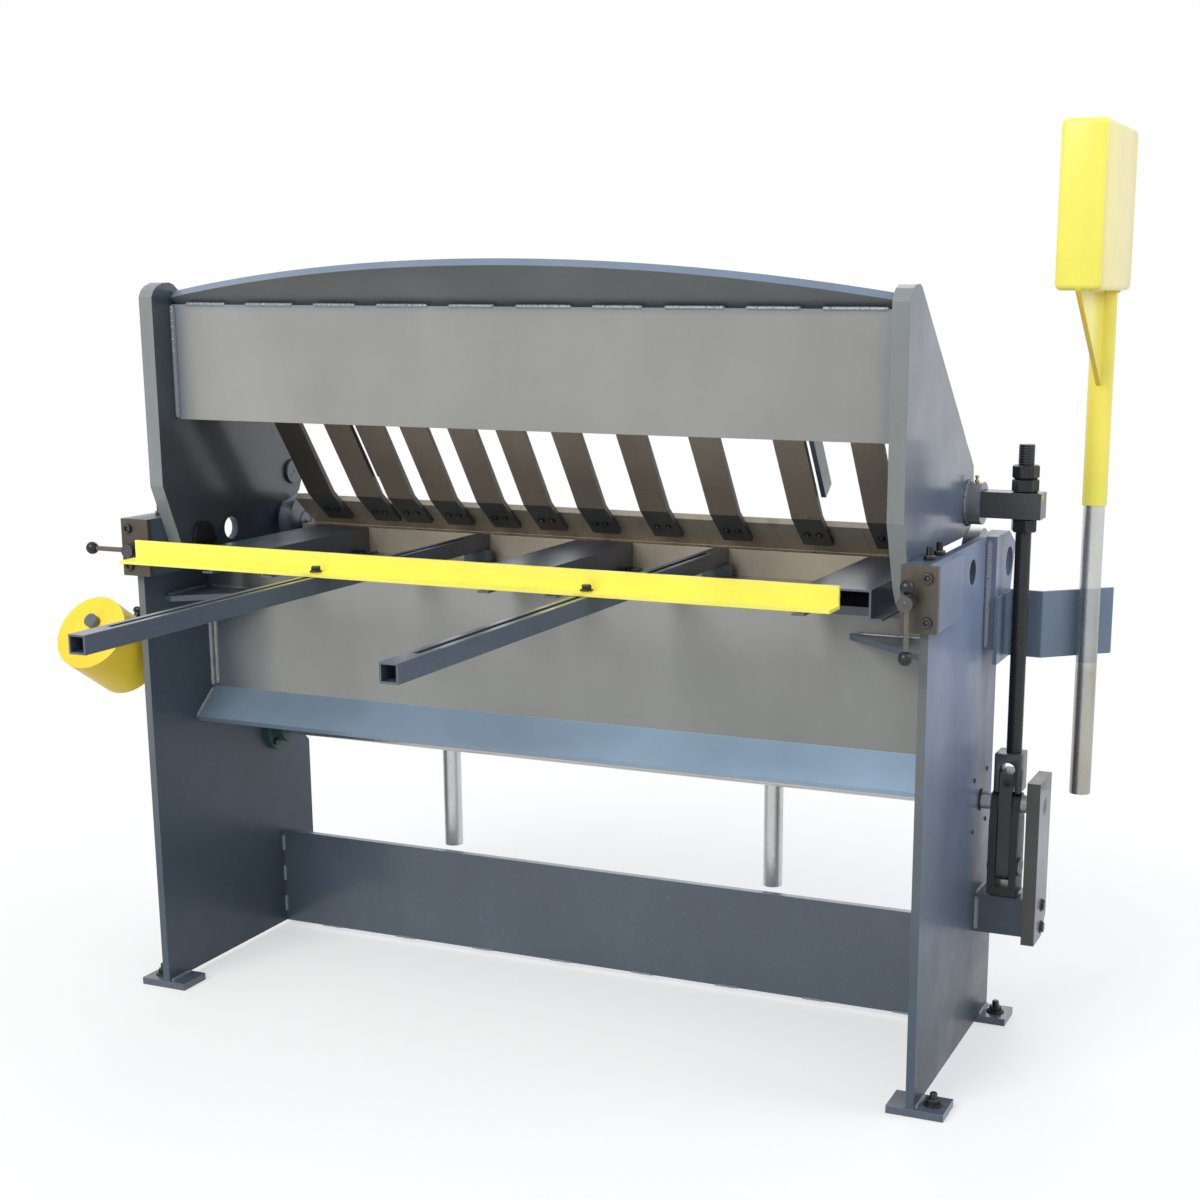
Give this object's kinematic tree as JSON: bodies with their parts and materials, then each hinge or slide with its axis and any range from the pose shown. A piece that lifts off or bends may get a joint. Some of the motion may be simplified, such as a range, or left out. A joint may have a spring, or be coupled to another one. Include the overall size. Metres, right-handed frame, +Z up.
{
  "type": "box and pan folding brake",
  "caption": "Floor-standing box and pan sheet-metal folding brake with loose fingers, a crank-clamped upper beam, a folding apron and counterweights.",
  "frame": {"origin": "on the floor, midway between the four anchor holes", "axes": "+X along the bed to the right seen from behind, +Y to the front where the apron folds, +Z up"},
  "size_m": [1.6686, 1.1852, 1.426],
  "materials": {
    "frame_paint": "satin blue-grey enamel",
    "yellow_paint": "gloss yellow enamel",
    "dark_strap": "dark mill steel",
    "ground_steel": "ground tool steel",
    "bright_steel": "turned steel",
    "black_oxide": "black oxide",
    "galvanised": "galvanised",
    "green_casting": "painted casting"
  },
  "bodies": {
    "frame": {"left_side_plate": "frame_paint", "right_side_plate": "frame_paint", "foot_pads": "frame_paint", "bed_plate": "frame_paint", "bed_nose_bar": "ground_steel", "bed_fasteners": "black_oxide", "bed_gussets": "frame_paint", "lower_crossbar": "frame_paint", "guide_housings": "frame_paint", "guide_end_blocks": "ground_steel", "guide_hardware": "black_oxide", "shaft_bearings": "green_casting", "hinge_ears": "frame_paint", "outer_bearing_plates": "frame_paint", "bearing_brackets": "frame_paint", "bearing_bolts": "black_oxide", "table_supports": "frame_paint", "gauge_tubes": "frame_paint", "gauge_tube_brackets": "frame_paint"},
    "back_gauge": {"gauge_stop": "yellow_paint", "gauge_stop_bolts": "black_oxide"},
    "setback_slides": {"slide_blocks": "bright_steel", "pivot_pins": "black_oxide"},
    "left_screw": {"setback_screw_left": "black_oxide"},
    "right_screw": {"setback_screw_right": "black_oxide"},
    "left_tommy_bar": {"tommy_bar_left": "black_oxide"},
    "right_tommy_bar": {"tommy_bar_right": "black_oxide"},
    "upper_beam": {"beam_arm_left": "frame_paint", "beam_arm_right": "frame_paint", "beam_rear_panel": "frame_paint", "beam_arch_plate": "frame_paint", "finger_bar": "frame_paint", "beam_ribs": "frame_paint", "finger_01": "dark_strap", "finger_02": "dark_strap", "finger_03": "dark_strap", "finger_04": "dark_strap", "finger_05": "dark_strap", "finger_06": "dark_strap", "finger_07": "dark_strap", "finger_08": "dark_strap", "finger_09": "dark_strap", "finger_10": "dark_strap", "finger_11": "dark_strap", "finger_screws": "black_oxide", "trunnion_pins": "dark_strap"},
    "tie_rod_links": {"trunnion_blocks": "frame_paint", "tie_rods": "dark_strap", "tie_rod_nuts": "black_oxide", "rod_forks": "frame_paint", "link_bars": "frame_paint"},
    "clamp_crank": {"clamp_shaft": "bright_steel", "cranks": "dark_strap", "clamp_lever": "bright_steel"},
    "clamp_weight": {"clamp_counterweight": "yellow_paint"},
    "apron": {"apron_leaf": "frame_paint", "apron_lugs": "frame_paint", "apron_handles": "galvanised", "weight_bracket": "galvanised", "weight_box": "yellow_paint"}
  },
  "joints": [
    {"name": "gauge_slide", "type": "slide", "parent": "frame", "child": "back_gauge", "axis": [0, 1, 0], "range_m": [-0.4, 0.4]},
    {"name": "setback", "type": "slide", "parent": "frame", "child": "setback_slides", "axis": [0, -1, 0], "range_m": [0, 0.006]},
    {"name": "left_screw_turn", "type": "hinge", "parent": "frame", "child": "left_screw", "pos_m": [-0.6535, -0.2275, 0.774], "axis": [0, -1, 0], "range_deg": [0, 720]},
    {"name": "right_screw_turn", "type": "hinge", "parent": "frame", "child": "right_screw", "pos_m": [0.6535, -0.2275, 0.774], "axis": [0, -1, 0], "range_deg": [0, 720]},
    {"name": "left_tommy_slide", "type": "slide", "parent": "left_screw", "child": "left_tommy_bar", "axis": [1, 0, 0], "range_m": [0, 0.055]},
    {"name": "right_tommy_slide", "type": "slide", "parent": "right_screw", "child": "right_tommy_bar", "axis": [0, 0, 1], "range_m": [0, 0.055]},
    {"name": "beam_lift", "type": "hinge", "parent": "setback_slides", "child": "upper_beam", "pos_m": [0, -0.1335, 0.783], "axis": [1, 0, 0], "range_deg": [0, 8.8]},
    {"name": "tie_rod_swing", "type": "hinge", "parent": "upper_beam", "child": "tie_rod_links", "pos_m": [0, 0.1335, 0.869], "axis": [1, 0, 0], "range_deg": [0, 1.6]},
    {"name": "clamp_turn", "type": "hinge", "parent": "frame", "child": "clamp_crank", "pos_m": [0, 0.1275, 0.396], "axis": [1, 0, 0], "range_deg": [0, 57.6]},
    {"name": "weight_slide", "type": "slide", "parent": "clamp_crank", "child": "clamp_weight", "axis": [0, -0.8339, 0.5519], "range_m": [-0.2, 0.01]},
    {"name": "apron_fold", "type": "hinge", "parent": "frame", "child": "apron", "pos_m": [0, 0.1905, 0.773], "axis": [1, 0, 0], "range_deg": [0, 135]}
  ],
  "couplings": [
    {"joint": "clamp_turn", "follows": "beam_lift", "ratio": 6.53},
    {"joint": "tie_rod_swing", "follows": "beam_lift", "ratio": 0.18},
    {"joint": "left_screw_turn", "follows": "setback", "rad_per_m": 2094.4},
    {"joint": "right_screw_turn", "follows": "setback", "rad_per_m": 2094.4}
  ]
}
